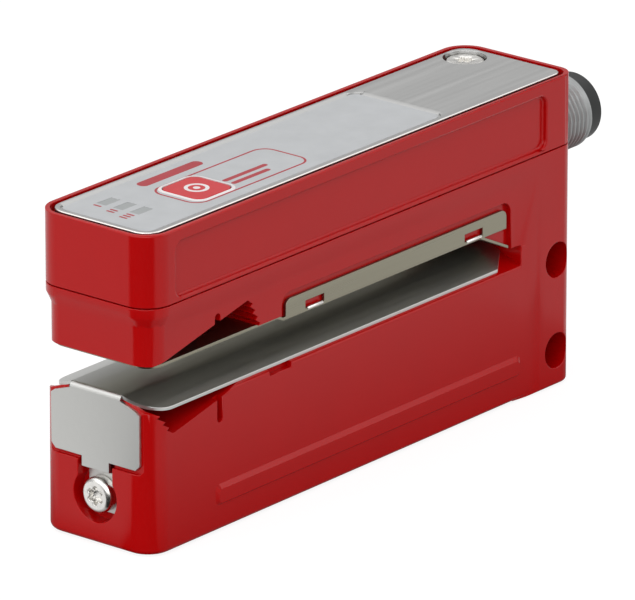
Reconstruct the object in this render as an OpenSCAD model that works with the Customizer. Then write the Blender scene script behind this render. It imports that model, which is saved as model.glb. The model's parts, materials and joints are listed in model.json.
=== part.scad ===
// Fork sensor: two jaws around a slim mouth, a cover with a top plate, and a round connector at the rear.
// Sizes are in millimetres. Drawn from the front face of the cover, which is at X = 0 inside placed().

/* [Body] */
// Length of the body without the connector
body_length = 100.7; // [100.5:0.1:101.5]
// Width of the cover and of the rear block
body_width = 22.5; // [22.4:0.1:23]
// Height of the body
body_height = 50; // [49.8:0.1:51]
// Corner radius of the body seen from above
corner_radius = 4.35; // [4.2:0.05:4.5]
// Corner radius beside the connector on the near side
rear_radius = 2.9; // [2.7:0.1:3.1]
// Height of the parting line
seam_height = 38.7; // [38.6:0.1:38.8]
// How far the upper jaw's wall stands back from the cover
upper_inset = 0.8; // [0.75:0.05:0.85]
// How far the lower jaw's wall stands back from the cover
lower_inset = 0.45; // [0.4:0.05:0.5]

/* [Mouth] */
// Height of the lower liner's flat
mouth_floor = 24.3; // [24.2:0.1:24.4]
// Height of the upper jaw's underside near the front
jaw_underside = 29.4; // [29.3:0.1:29.6]
// Depth of the mouth from the front of the cover
mouth_depth = 88; // [87.6:0.1:88.4]
// Thickness of the liners' sheet
sheet = 0.5; // [0.4:0.05:0.5]
// Tilt of the sound path and of the jaws' ramps, in degrees
ramp_tilt = 12.6; // [12.2:0.1:13]

/* [Mounting] */
// Radius of the two mounting holes
mount_hole_r = 2.85; // [2.6:0.05:2.85]
// Distance of the mounting holes from the rear face
mount_hole_inset = 4.3; // [4.1:0.1:4.5]
// Height of the lower mounting hole
mount_hole_low = 5.7; // [5.5:0.1:5.9]
// Distance between the mounting holes
mount_hole_spacing = 14.8; // [14.4:0.1:15]

/* [Connector] */
// Height of the connector's axis
connector_z = 38.35; // [38.3:0.05:38.6]
// Outside radius of the connector's thread
thread_r = 6; // [5.9:0.1:6]
// How far the thread stands out of the rear face
thread_reach = 11.3; // [10.8:0.1:11.8]
// How far the contact carrier stands out of the thread
carrier_reach = 2.7; // [2:0.1:3]

/* [Top] */
// Centre of the teach key along the body
key_x = 22.25; // [21.25:0.5:23.75]
// Centre of the teach key across the body
key_y = -1.4; // [-2:0.05:-1]
// Side of the square teach key
key_side = 8; // [7:0.5:8]
// Rear end of the label
label_end = 71.2; // [68:0.2:74]

/* [Hidden] */
$fn = 48;
reach = body_length + thread_reach + carrier_reach;
half_width = body_width / 2;
past = half_width + 2;

// Parting line
seam_gap = 0.25;
housing_top = seam_height - seam_gap / 2;
cover_bottom = seam_height + seam_gap / 2;
lip_bottom = housing_top - 1.3;
lip_foot = lip_bottom - 1.8;

// Jaws
lower_half = half_width - lower_inset;
upper_half = half_width - upper_inset;
lower_foot_inset = 0.35;
bottom_fillet = 0.9;
block_blend = [86.5, 92.1];
block_back = 0.85;
block_fillet = 0.6;
flat_half = 4.85;
wing_slope = 0.358;
wing_half = 10.2;
floor_top = mouth_floor - sheet;
step_start = 30.6;
step_end = 31.6;
step_drop = 0.45;
rear_underside = jaw_underside - step_drop;
slope_start = 78.6;
slope_end = 85.8;
throat_top = 25;
throat_lip = throat_top + 0.45;
jaw_split = throat_top - 0.1;

// Ramps of the sound path
ramp_rise = tan(ramp_tilt);
upper_ramp_x = 2.2;
upper_apex_x = 23.1;
upper_apex_z = jaw_underside + ramp_rise * (upper_apex_x - upper_ramp_x);
lower_ramp_x = 5.8;
lower_ramp_z = 18.5;
lower_ramp_end = lower_ramp_x + (floor_top + 0.06 - lower_ramp_z) / ramp_rise;
tooth_count = 4;
tooth_depth = 0.75;
mark_x = 16.2;
mark_width = 1.2;
mark_depth = 1.1;
upper_mark_top = 33.95;
lower_mark_bottom = 17;
edge_notch = [27.2, 33.2];
edge_notch_z = 21;

// Side bead of the lower jaw
bead = [15.1, 87.7];
bead_z = [4.1, 7.4];
bead_corner = 0.9;

// Flanges of the upper liner and the recess that they lie in
flange = [32.2, 85];
flange_top = 31.6;
flange_recess = [31, 85.7];
flange_recess_top = 32.8;
flange_outer = upper_half - 0.25;
flange_floor = flange_outer - sheet - 0.05;
slot_length = 4.4;
slot_z = [28.9, 30.2];
slot_starts = [36.8, 74.8];

// Front flap, its recess and its screw
flap_face = 0.5;
flap_half = 8.5;
flap_bottom = 13.2;
flap_side_top = 21.9;
flap_gap = 0.6;
flap_floor = flap_face + sheet;
bend_r = 0.9;
tab_half = 2.65;
tab_bottom = 11.6;
screw_z = 7.45;
screw_pocket_r = 4.15;
pocket_neck_half = 3.3;
pocket_floor = 2.7;
screw_head_r = 2.8;
screw_r = 1.5;
screw_play = 0.05;

// Inner space
wall = 2.4;
cavity_end = body_length - 2.3;
cavity_half = 8;
cavity_r = 1.5;
roof_bottom = 47;
floor_front = 35.4;
floor_rear = 31;
floor_step_x = 27.6;
lower_cavity_half = 4;
lower_cavity_floor = 13;
shaft = [89.6, 91.9];
shaft_half = 3;

// Shallow panel in each side of the cover
panel = [5.9, 93.4];
panel_z = [39.35, 47.95];
panel_corner = 1.5;
panel_depth = 0.75;

// Top plate, label and key
plate = [1.45, body_length - 1.55];
plate_half = 9.8;
plate_corner = 2.9;
plate_rear_corner = 1.6;
plate_top = body_height - 0.02;
plate_thickness = 1.2;
plate_bottom = plate_top - plate_thickness;
plate_gap = 0.75;
label_recess = 0.35;
label_floor = plate_top - label_recess;
label_thickness = 0.2;
label_top = label_floor + label_thickness;
label_start = 2.7;
label_half = 8.5;
label_bevel = 1;
label_side_bevel = 0.55;
key_gap = 0.15;
key_radius = 1.5;
key_top = label_top + 0.1;
key_bottom = key_top - 0.8;
key_pocket = key_bottom - 0.6;
stem_r = 1.6;
collar_r = 2.6;
window_x = 9.6;
window_ys = [4.85, 1.65, -1.5];
window_size = [3.2, 1.7];
top_screw = [95, 6];
top_screw_seat = 48.2;
top_screw_head_r = 3.15;
screw_well_r = 3.4;

// Boards
board = [4, 87];
board_half = 6.9;
board_bottom = 39.5;
board_thickness = 1.6;
board_top = board_bottom + board_thickness;
post_r = 1.9;
posts = [[31, 4.6], [80, -4.6]];
front_posts = [[6, 4.5], [6, -4.5]];
switch_side = 6;
switch_top = board_top + 3.4;
switch_plunger_top = switch_top + 0.7;

// Connector
connector_pocket_r = 5;
connector_flange_r = 6.2;
connector_rear = cavity_end - 1.3;
seal_r = 0.5;
seal_x = body_length + seal_r + 0.1;
pin_circle = 2.5;
pin_r = 0.5;
pin_angles = [45, 135, 225, 315];

// Transducers
transducer_r = 4.85;
transducer_height = 5.5;
sleeve_r = 5.8;
sleeve_play = 0.1;
receiver_x = 15.2;
transmitter_x = 17.8;
aperture_r = 3.2;
lower_aperture_r = 1.5;

// Height of the lower jaw's top at a distance from the middle, with the liner's flat at top
function wing(y, top) = top - wing_slope * max(0, y - flat_half);

// Points of a toothed wall from one point to another, each tooth cut sideways by depth
function teeth(from, to, depth) = [
    for (i = [0 : tooth_count - 1], half = [0, 1])
        from + (to - from) * (i + half * 0.7) / tooth_count + half * [depth, 0]
];

// Puts the drawing with the middle of the whole object, connector included, at X = 0
module placed() {
    translate([-reach / 2, 0, 0]) children();
}

// Extrudes an X-Z profile across the body
module across(y0, y1) {
    translate([0, y1, 0]) rotate([90, 0, 0]) linear_extrude(y1 - y0) children();
}

// Extrudes a Y-Z profile along the body
module along(x0, x1) {
    translate([x0, 0, 0]) rotate([90, 0, 90]) linear_extrude(x1 - x0) children();
}

// Extrudes an X-Y outline upwards
module upright(z0, z1) {
    translate([0, 0, z0]) linear_extrude(z1 - z0) children();
}

module both_sides() {
    children();
    mirror([0, 1, 0]) children();
}

// Rectangle with round corners
module round_rect(x0, y0, x1, y1, r) {
    translate([x0 + r, y0]) square([x1 - x0 - 2 * r, y1 - y0]);
    translate([x0, y0 + r]) square([x1 - x0, y1 - y0 - 2 * r]);
    for (x = [x0 + r, x1 - r], y = [y0 + r, y1 - r])
        translate([x, y]) circle(r);
}

// Block with round upright corners whose wall follows a profile, drawn with the outside at 0 and the inside at
// minus the radius. The corner at the near rear has a smaller radius.
module walled_block(x0, x1, half, z0, z1) {
    r = corner_radius;
    extra = r - rear_radius;
    straight = x1 - x0 - 2 * r;
    inner = half - r;
    translate([x0 + r, -inner, z0]) cube([straight, 2 * inner, z1 - z0]);
    translate([x0 + r, half, 0]) rotate([90, 0, 90]) linear_extrude(straight) children();
    mirror([0, 1, 0]) translate([x0 + r, half, 0]) rotate([90, 0, 90])
        linear_extrude(straight + extra) children();
    translate([x1, inner, 0]) rotate([90, 0, 0]) linear_extrude(2 * inner + extra) children();
    translate([x0, inner, 0]) rotate([90, 0, 0]) linear_extrude(2 * inner) mirror([1, 0]) children();
    walled_corner(x1 - r, inner, r, 0, z0, z1) children();
    walled_corner(x0 + r, inner, r, 90, z0, z1) children();
    walled_corner(x0 + r, -inner, r, 180, z0, z1) children();
    walled_corner(x1 - rear_radius, rear_radius - half, rear_radius, 270, z0, z1) children();
}

// One round corner of such a block
module walled_corner(x, y, r, turn, z0, z1) {
    translate([x, y, 0]) rotate(turn) intersection() {
        rotate_extrude() intersection() {
            translate([r, 0]) children();
            translate([0, z0]) square([r, z1 - z0]);
        }
        translate([0, 0, z0 - 1]) cube([r + 1, r + 1, z1 - z0 + 2]);
    }
}

// Round bar between two points
module rod(from, to, r) {
    d = to - from;
    length = norm(d);
    translate(from) rotate([0, acos(d[2] / length), atan2(d[1], d[0])]) cylinder(r = r, h = length);
}

// Six-lobed driver recess, drawn flat
module star(r) {
    circle(r * 0.72);
    for (turn = [0 : 5])
        rotate(60 * turn) translate([r * 0.76, 0]) circle(r * 0.24);
}

// Pan-head screw with its head's underside at 0 and its shank pointing down
module pan_screw(head_r, head_height, shank_r, shank_length, drive_r) {
    edge = head_height * 0.45;
    difference() {
        union() {
            translate([0, 0, -shank_length]) cylinder(r = shank_r, h = shank_length + 0.2);
            rotate_extrude() {
                square([head_r, head_height - edge]);
                square([head_r - edge, head_height]);
                translate([head_r - edge, head_height - edge]) circle(edge);
            }
        }
        translate([0, 0, head_height * 0.45]) linear_extrude(head_height) star(drive_r);
        translate([0, 0, -shank_length - 1]) cylinder(r = shank_r + 1, h = 0.9);
    }
}

// Wall of the lower jaw: bottom fillet and a slight draft
module lower_wall() {
    polygon([
        [-corner_radius, 0], [-lower_foot_inset - bottom_fillet, 0], [-lower_foot_inset, bottom_fillet],
        [-lower_inset, jaw_split], [-corner_radius, jaw_split]
    ]);
    translate([-lower_foot_inset - bottom_fillet, bottom_fillet]) circle(bottom_fillet);
}

// Wall of the upper jaw: plain wall, lead-out and lip
module upper_wall() {
    polygon([
        [-corner_radius, jaw_split], [-upper_inset, jaw_split], [-upper_inset, lip_foot],
        [0, lip_bottom], [0, housing_top], [-corner_radius, housing_top]
    ]);
}

// Wall of the rear mounting block
module block_wall() {
    polygon([
        [-corner_radius, 0], [-block_fillet, 0], [0, block_fillet], [0, housing_top],
        [-corner_radius, housing_top]
    ]);
    translate([-block_fillet, block_fillet]) circle(block_fillet);
}

// Rear mounting block, whose sides rise gently out of the jaws' walls
module rear_block() {
    intersection() {
        walled_block(60, body_length, half_width, 0, housing_top) block_wall();
        upright(-1, housing_top + 1) polygon([
            [block_blend[0], -half_width + block_back], [block_blend[1], -half_width],
            [body_length + 1, -half_width], [body_length + 1, half_width],
            [block_blend[1], half_width], [block_blend[0], half_width - block_back]
        ]);
    }
}

// Open space between the jaws
module mouth() {
    intersection() {
        across(-past, past) polygon([
            [-1, 10], [-1, jaw_underside], [step_start, jaw_underside], [step_end, rear_underside],
            [slope_start, rear_underside], [slope_end, throat_lip], [slope_end, throat_top],
            [mouth_depth, throat_top], [mouth_depth, 10]
        ]);
        along(-1, mouth_depth) polygon([
            [-past, wing(past, floor_top)], [-flat_half, floor_top], [flat_half, floor_top],
            [past, wing(past, floor_top)], [past, jaw_underside], [-past, jaw_underside]
        ]);
    }
}

// Wedge in the upper jaw in front of the receiver
module upper_wedge() {
    across(-past, past) polygon(concat(
        [[upper_ramp_x, jaw_underside - 0.2], [upper_ramp_x, jaw_underside]],
        teeth([upper_apex_x, upper_apex_z], [upper_apex_x + 2.3, jaw_underside], tooth_depth),
        [[upper_apex_x + 2.3, jaw_underside - 0.2]]
    ));
}

// Wedge in the lower jaw in front of the transmitter
module lower_wedge() {
    across(-past, past) polygon(concat(
        teeth([lower_ramp_x - 0.4, lower_ramp_z], [lower_ramp_x - 3.6, lower_ramp_z + 4.2], -tooth_depth),
        [[lower_ramp_x - 4.4, floor_top + 0.4], [lower_ramp_end, floor_top + 0.4],
         [lower_ramp_end, floor_top + 0.06], [lower_ramp_x, lower_ramp_z]]
    ));
}

// Small marks of the sensing position in the side walls
module position_marks() {
    upper_r = mark_width / 2;
    both_sides() across(upper_half - mark_depth, past) {
        translate([mark_x - upper_r, jaw_underside])
            square([mark_width, upper_mark_top - upper_r - jaw_underside]);
        translate([mark_x, upper_mark_top - upper_r]) circle(upper_r);
    }
    both_sides() across(lower_half - mark_depth, past) {
        translate([mark_x - upper_r, lower_mark_bottom + upper_r])
            square([mark_width, mouth_floor - lower_mark_bottom - upper_r]);
        translate([mark_x, lower_mark_bottom + upper_r]) circle(upper_r);
    }
    both_sides() across(lower_half - mark_depth, past) polygon([
        [edge_notch[0], mouth_floor], [edge_notch[0] + 0.6, edge_notch_z],
        [edge_notch[1] - 0.4, edge_notch_z], [edge_notch[1], mouth_floor]
    ]);
}

// Recess of the upper jaw's side for one flange of the liner
module flange_recess_shape() {
    across(flange_floor, past) {
        round_rect(flange_recess[0], throat_lip, flange_recess[1], flange_recess_top, 1.9);
        polygon([
            [flange_recess[0], throat_top], [flange_recess[0], flange_recess_top - 2],
            [flange_recess[1], flange_recess_top - 2], [slope_end + 0.1, throat_top]
        ]);
    }
}

// Outline of the front flap, grown by a gap
module flap_outline(gap, top) {
    shoulder = flap_half - 0.7;
    difference() {
        polygon([
            [-flap_half - gap, flap_bottom - gap], [flap_half + gap, flap_bottom - gap],
            [flap_half + gap, flap_side_top + gap], [shoulder + gap, flap_side_top + 0.5 + gap],
            [flat_half + gap, top], [-flat_half - gap, top],
            [-shoulder - gap, flap_side_top + 0.5 + gap], [-flap_half - gap, flap_side_top + gap]
        ]);
        for (side = [-1, 1])
            translate([side * (flap_half + gap), flap_bottom - gap]) rotate(45)
                square(1.1, center = true);
    }
}

// Recesses of the front for the flap, its tab and the screw
module front_recess() {
    along(-1, flap_floor) flap_outline(flap_gap, mouth_floor + 0.1);
    across(-flat_half - flap_gap, flat_half + flap_gap) polygon([
        [0, floor_top - 0.9], [flap_floor - 0.1, floor_top - 0.9], [flap_floor + 0.8, floor_top + 0.1],
        [0, floor_top + 0.1]
    ]);
    translate([-1, 0, screw_z]) rotate([0, 90, 0]) cylinder(r = screw_pocket_r, h = pocket_floor + 1);
    translate([-1, -pocket_neck_half, screw_z])
        cube([pocket_floor + 1, 2 * pocket_neck_half, flap_bottom - screw_z]);
    translate([pocket_floor - 0.5, 0, screw_z]) rotate([0, 90, 0]) cylinder(r = screw_r + screw_play, h = 9.5);
}

// Space for the boards in the upper jaw, the shaft in the rear block and the channel in the lower jaw
module housing_cavity() {
    upright(floor_rear, housing_top + 1)
        round_rect(floor_step_x, -cavity_half, cavity_end, cavity_half, cavity_r);
    upright(floor_front, housing_top + 1)
        round_rect(wall, -cavity_half, floor_step_x + 2 * cavity_r, cavity_half, cavity_r);
    translate([shaft[0], -shaft_half, lower_cavity_floor])
        cube([shaft[1] - shaft[0], 2 * shaft_half, floor_rear + 1 - lower_cavity_floor]);
    translate([transmitter_x, -lower_cavity_half, lower_cavity_floor])
        cube([mouth_depth - 2 - transmitter_x, 2 * lower_cavity_half, mouth_floor - lower_cavity_floor]);
    translate([mouth_depth - 3, -shaft_half, lower_cavity_floor])
        cube([shaft[1] - mouth_depth + 2, 2 * shaft_half, 6.5]);
}

// Places its children on the sound path at one ramp, with +Z up the path
module on_upper_ramp() {
    translate([receiver_x, 0, jaw_underside + ramp_rise * (receiver_x - upper_ramp_x)])
        rotate([0, -ramp_tilt, 0]) children();
}

module on_lower_ramp() {
    translate([transmitter_x, 0, lower_ramp_z + ramp_rise * (transmitter_x - lower_ramp_x)])
        rotate([0, -ramp_tilt, 0]) children();
}

// Round seat of the connector in the rear wall
module connector_seat(play) {
    translate([cavity_end - 1, 0, connector_z]) rotate([0, 90, 0])
        cylinder(r = connector_pocket_r + play, h = body_length - cavity_end + 2);
}

module mount_holes() {
    for (z = [mount_hole_low, mount_hole_low + mount_hole_spacing])
        translate([body_length - mount_hole_inset, past, z]) rotate([90, 0, 0])
            cylinder(r = mount_hole_r, h = 2 * past);
}

// Long raised bead on one side of the lower jaw
module side_bead() {
    across(lower_half - 0.2, half_width) round_rect(bead[0], bead_z[0], bead[1], bead_z[1], bead_corner);
}

module housing() {
    color("firebrick") placed() difference() {
        union() {
            difference() {
                union() {
                    walled_block(0, body_length, half_width, 0, jaw_split) lower_wall();
                    walled_block(0, body_length, half_width, jaw_split, housing_top) upper_wall();
                    rear_block();
                }
                mouth();
                upper_wedge();
                lower_wedge();
                position_marks();
                both_sides() flange_recess_shape();
                front_recess();
                housing_cavity();
                connector_seat(0.05);
                mount_holes();
            }
            both_sides() side_bead();
            for (post = posts)
                translate([post[0], post[1], floor_rear - 0.5])
                    cylinder(r = post_r, h = board_bottom - floor_rear + 0.5);
            for (post = front_posts)
                translate([post[0], post[1], floor_front - 0.5])
                    cylinder(r = 1.5, h = board_bottom - floor_front + 0.5);
            translate([top_screw[0], top_screw[1], floor_rear - 0.5])
                cylinder(r = 1.9, h = housing_top - floor_rear + 0.5);
        }
        for (post = posts)
            translate([post[0], post[1], board_bottom - 5]) cylinder(r = 0.85 + screw_play, h = 6);
        translate([top_screw[0], top_screw[1], 32]) cylinder(r = screw_r + screw_play, h = 8);
        on_upper_ramp() translate([0, 0, -2]) cylinder(r = sleeve_r + sleeve_play, h = 11);
        on_lower_ramp() translate([0, 0, -transducer_height - 2])
            cylinder(r = sleeve_r + sleeve_play, h = transducer_height + 6);
    }
}

// Wall of the cover with its rounded top edge
module cover_wall() {
    edge = 0.12;
    translate([-corner_radius, cover_bottom]) square([corner_radius, body_height - edge - cover_bottom]);
    translate([-corner_radius, cover_bottom]) square([corner_radius - edge, body_height - cover_bottom]);
    translate([-edge, body_height - edge]) circle(edge);
}

// Low rim under the cover that drops inside the housing's wall
module cover_spigot() {
    upright(cover_bottom - 1.2, cover_bottom + 0.8) difference() {
        round_rect(wall + 0.15, -cavity_half + 0.15, 90, cavity_half - 0.15, cavity_r - 0.15);
        translate([wall + 1.05, -cavity_half + 1.05]) square([100, 2 * cavity_half - 2.1]);
    }
    upright(cover_bottom, cover_bottom + 0.8) difference() {
        round_rect(wall - 0.3, -cavity_half - 0.3, 90, cavity_half + 0.3, cavity_r);
        translate([wall + 1.05, -cavity_half + 1.05]) square([100, 2 * cavity_half - 2.1]);
    }
}

module top_cover() {
    color("firebrick") placed() difference() {
        union() {
            difference() {
                walled_block(0, body_length, half_width, cover_bottom, body_height) cover_wall();
                upright(cover_bottom - 1, roof_bottom)
                    round_rect(wall, -cavity_half, cavity_end, cavity_half, cavity_r);
                upright(plate_bottom, body_height + 1) plate_outline(plate_gap);
                both_sides() across(half_width - panel_depth, past)
                    round_rect(panel[0], panel_z[0], panel[1], panel_z[1], panel_corner);
            }
            cover_spigot();
            translate([top_screw[0], top_screw[1], cover_bottom])
                cylinder(r = 1.9, h = roof_bottom - cover_bottom + 0.5);
            translate([top_screw[0], top_screw[1], 45.6]) cylinder(r = screw_well_r + 0.9, h = 2);
        }
        connector_seat(0.05);
        translate([top_screw[0], top_screw[1], cover_bottom - 1]) cylinder(r = screw_r + 0.1, h = 12);
        translate([top_screw[0], top_screw[1], top_screw_seat]) cylinder(r = screw_well_r, h = 3);
        upright(key_pocket, body_height) round_rect(
            key_x - key_side / 2 - 0.4, key_y - key_side / 2 - 0.4,
            key_x + key_side / 2 + 0.4, key_y + key_side / 2 + 0.4, key_radius);
        translate([key_x, key_y, roof_bottom - 1]) cylinder(r = stem_r + 0.3, h = 3);
        for (y = window_ys)
            translate([window_x - window_size[0] / 2 - 0.15, y - window_size[1] / 2 - 0.15, roof_bottom - 1])
                cube([window_size[0] + 0.3, window_size[1] + 0.3, 4]);
    }
}

module cover_gasket() {
    color("dimgray") placed() difference() {
        upright(housing_top, cover_bottom) difference() {
            round_rect(0.8, -half_width + 0.8, body_length - 0.8, half_width - 0.8, corner_radius - 0.8);
            round_rect(wall - 0.1, -cavity_half - 0.1, cavity_end + 0.1, cavity_half + 0.1, cavity_r + 0.1);
        }
        connector_seat(0.05);
    }
}

// Outline of the top plate grown by a gap, with a smaller corner at the near rear
module plate_outline(gap) {
    near = -plate_half - gap;
    end = plate[1] + gap;
    corner = plate_corner + gap;
    rear_corner = plate_rear_corner + gap;
    round_rect(plate[0] - gap, near, end, plate_half + gap, corner);
    translate([end - corner, near + rear_corner]) square([corner, corner]);
    translate([end - rear_corner - corner, near]) square([corner, corner]);
    translate([end - rear_corner, near + rear_corner]) circle(rear_corner);
}

module top_plate() {
    color("silver") placed() difference() {
        upright(plate_bottom, plate_top) plate_outline(0);
        upright(label_floor, plate_top + 1)
            round_rect(label_start - 0.3, -label_half - 0.3, label_end + 0.4, label_half + 0.3, 1.6);
        along(label_start + 1.2, label_end - 1) polygon([
            [label_half - 1, label_floor], [label_half + 0.3, label_floor],
            [label_half + 0.3 + label_side_bevel, plate_top + 0.01], [label_half - 1, plate_top + 0.01]
        ]);
        across(-label_half + 0.9, label_half - 0.9) polygon([
            [label_end - 1, label_floor], [label_end + 0.4, label_floor],
            [label_end + 0.4 + label_bevel, plate_top + 0.01], [label_end - 1, plate_top + 0.01]
        ]);
        upright(plate_bottom - 1, plate_top) round_rect(
            key_x - key_side / 2 - key_gap, key_y - key_side / 2 - key_gap,
            key_x + key_side / 2 + key_gap, key_y + key_side / 2 + key_gap, key_radius + key_gap);
        for (y = window_ys)
            translate([window_x - window_size[0] / 2 - 0.1, y - window_size[1] / 2 - 0.1, plate_bottom - 1])
                cube([window_size[0] + 0.2, window_size[1] + 0.2, 3]);
        translate([top_screw[0], top_screw[1], plate_bottom - 1]) cylinder(r = screw_well_r, h = 3);
    }
}

module label_foil() {
    color("lightsteelblue") placed() upright(label_floor, label_top) difference() {
        round_rect(label_start, -label_half, label_end, label_half, 1.4);
        round_rect(key_x - key_side / 2 - key_gap, key_y - key_side / 2 - key_gap,
                   key_x + key_side / 2 + key_gap, key_y + key_side / 2 + key_gap, key_radius + key_gap);
        for (y = window_ys)
            translate([window_x - window_size[0] / 2 - 0.05, y - window_size[1] / 2 - 0.05])
                square([window_size[0] + 0.1, window_size[1] + 0.1]);
    }
}

module teach_key() {
    color("crimson") placed() upright(key_bottom, key_top)
        round_rect(key_x - key_side / 2, key_y - key_side / 2,
                   key_x + key_side / 2, key_y + key_side / 2, key_radius);
}

module key_plunger() {
    color("white") placed() translate([key_x, key_y, 0]) {
        translate([0, 0, switch_plunger_top]) cylinder(r = stem_r, h = key_bottom - switch_plunger_top);
        translate([0, 0, switch_plunger_top]) cylinder(r = collar_r, h = 1.3);
    }
}

module switch_plunger() {
    color("black") placed() translate([key_x, key_y, switch_top - 1.3])
        cylinder(r = 1.6, h = switch_plunger_top - switch_top + 1.3);
}

module tact_switch() {
    color("dimgray") placed() difference() {
        translate([key_x - switch_side / 2, key_y - switch_side / 2, board_top])
            cube([switch_side, switch_side, switch_top - board_top]);
        translate([key_x, key_y, switch_top - 1.9]) cylinder(r = 1.9, h = 3);
    }
}

// One clear moulding: three light posts on a common bridge under the cover's roof
module light_guide() {
    color("gainsboro") placed() {
        for (y = window_ys)
            translate([window_x - window_size[0] / 2, y - window_size[1] / 2, board_top + 1.1])
                cube([window_size[0], window_size[1], label_top - 0.03 - board_top - 1.1]);
        translate([window_x - 1.9, window_ys[2] - 1.2, roof_bottom - 1.6])
            cube([3.8, window_ys[0] - window_ys[2] + 2.4, 1.5]);
    }
}

module status_leds() {
    color("palegreen") placed() for (y = window_ys)
        translate([window_x - 1, y - 0.6, board_top]) cube([2, 1.2, 0.8]);
}

module top_screw() {
    color("silver") placed() translate([top_screw[0], top_screw[1], top_screw_seat])
        pan_screw(top_screw_head_r, 1.4, screw_r, 15, 1.45);
}

// Folded sheet: flat with sloping wings, a bend at the front, the flap and its screw tab
module lower_liner() {
    bend_x = flap_face + bend_r;
    bend_z = mouth_floor - bend_r;
    side_r = wing_half - flat_half;
    color("silver") placed() difference() {
        union() {
            intersection() {
                along(bend_x - 0.6, mouth_depth - 0.4) polygon([
                    [-wing_half, wing(wing_half, mouth_floor)], [-flat_half, mouth_floor],
                    [flat_half, mouth_floor], [wing_half, wing(wing_half, mouth_floor)],
                    [wing_half, wing(wing_half, floor_top)], [flat_half, floor_top],
                    [-flat_half, floor_top], [-wing_half, wing(wing_half, floor_top)]
                ]);
                upright(20, 26) {
                    translate([bend_x, -flat_half]) square([40, 2 * flat_half]);
                    for (side = [-1, 1]) intersection() {
                        translate([bend_x - 0.5 + side_r, side * flat_half]) circle(side_r);
                        translate([0, side > 0 ? flat_half : -wing_half]) square([20, side_r]);
                    }
                    polygon([
                        [bend_x - 0.5 + side_r, -wing_half], [82.9, -wing_half], [87.6, -6.9], [90, -6.9],
                        [90, 6.9], [87.6, 6.9], [82.9, wing_half], [bend_x - 0.5 + side_r, wing_half]
                    ]);
                }
            }
            across(-flat_half, flat_half) intersection() {
                translate([bend_x, bend_z]) difference() {
                    circle(bend_r);
                    circle(bend_r - sheet);
                }
                translate([0, bend_z]) square([bend_x, bend_r]);
            }
            along(flap_face, flap_floor) flap_outline(0, bend_z);
            across(-tab_half, tab_half) polygon([
                [flap_face, flap_bottom + 0.2], [flap_face, tab_bottom], [pocket_floor - sheet, tab_bottom - 0.5],
                [pocket_floor - sheet, 4.6], [pocket_floor, 4.6], [pocket_floor, tab_bottom - 0.05],
                [flap_floor, tab_bottom + 0.45], [flap_floor, flap_bottom + 0.2]
            ]);
        }
        translate([0, 0, screw_z]) rotate([0, 90, 0]) cylinder(r = screw_r + 0.2, h = 5);
        translate([mark_x + 0.7, 0, 20]) cylinder(r = lower_aperture_r, h = 6);
    }
}

// Folded sheet under the upper jaw: a stepped floor, a rear end that slopes down, and a slotted flange each side
module upper_liner() {
    front = upper_inset + 0.3;
    end = slope_end - 0.3;
    end_z = throat_lip + (rear_underside - throat_lip) * (slope_end - end) / (slope_end - slope_start);
    color("silver") placed() difference() {
        union() {
            intersection() {
                across(-flange_outer, flange_outer) polygon([
                    [front, jaw_underside], [step_start, jaw_underside], [step_end, rear_underside],
                    [slope_start, rear_underside], [end, end_z], [end, end_z - sheet],
                    [slope_start, rear_underside - sheet], [step_end, rear_underside - sheet],
                    [step_start, jaw_underside - sheet], [front, jaw_underside - sheet]
                ]);
                upright(20, 32) round_rect(front, -flange_outer, 120, flange_outer, 2.8);
            }
            both_sides() across(flange_outer - sheet, flange_outer) difference() {
                union() {
                    round_rect(flange[0], rear_underside - sheet, flange[1], flange_top, 1.2);
                    translate([flange[0], rear_underside - sheet]) square([flange[1] - flange[0], 1.5]);
                }
                for (x = slot_starts)
                    translate([x, slot_z[0]]) square([slot_length, slot_z[1] - slot_z[0]]);
            }
        }
        translate([mark_x - 0.6, 0, 20]) cylinder(r = aperture_r, h = 12);
    }
}

module front_screw() {
    color("silver") placed() translate([pocket_floor - sheet, 0, screw_z]) rotate([0, -90, 0])
        pan_screw(screw_head_r, 1.8, screw_r, 8, 1.5);
}

// Turned shell: thread, relief for the seal, neck in the wall and flange behind it
module connector_shell() {
    end = body_length + thread_reach;
    relief = body_length + 2 * seal_r + 0.2;
    bore = connector_pocket_r - 0.4;
    color("gainsboro") placed() translate([0, 0, connector_z]) rotate([0, 90, 0]) difference() {
        union() {
            translate([0, 0, connector_rear]) cylinder(r = connector_pocket_r, h = end - connector_rear);
            translate([0, 0, connector_rear]) cylinder(r = connector_flange_r, h = cavity_end - connector_rear);
            translate([0, 0, relief]) cylinder(r = thread_r, h = end - relief - 0.4);
            translate([0, 0, end - 0.4]) cylinder(r1 = thread_r, r2 = thread_r - 0.35, h = 0.4);
        }
        translate([0, 0, connector_rear - 1]) cylinder(r = bore, h = end - connector_rear + 2);
    }
}

// Moulded contact carrier: plug in the shell, collar at the open end and the socket between
module connector_insert() {
    end = body_length + thread_reach;
    bore = connector_pocket_r - 0.4;
    color("dimgray") placed() translate([0, 0, connector_z]) rotate([0, 90, 0]) difference() {
        union() {
            translate([0, 0, connector_rear]) cylinder(r = bore, h = end - connector_rear);
            translate([0, 0, end]) cylinder(r = bore + 0.85, h = carrier_reach);
        }
        translate([0, 0, end - 6.5]) cylinder(r = bore - 0.35, h = 20);
        for (turn = pin_angles)
            rotate(turn) translate([pin_circle, 0, 0]) cylinder(r = pin_r, h = 200);
    }
}

module connector_pins() {
    color("gold") placed() translate([connector_rear - 1.2, 0, connector_z]) rotate([0, 90, 0])
        for (turn = pin_angles)
            rotate(turn) translate([pin_circle, 0, 0])
                cylinder(r = pin_r, h = body_length + thread_reach + 1 - connector_rear);
}

module connector_seal() {
    color("black") placed() translate([seal_x, 0, connector_z]) rotate([0, 90, 0])
        rotate_extrude() translate([connector_pocket_r + seal_r, 0]) circle(seal_r);
}

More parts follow.
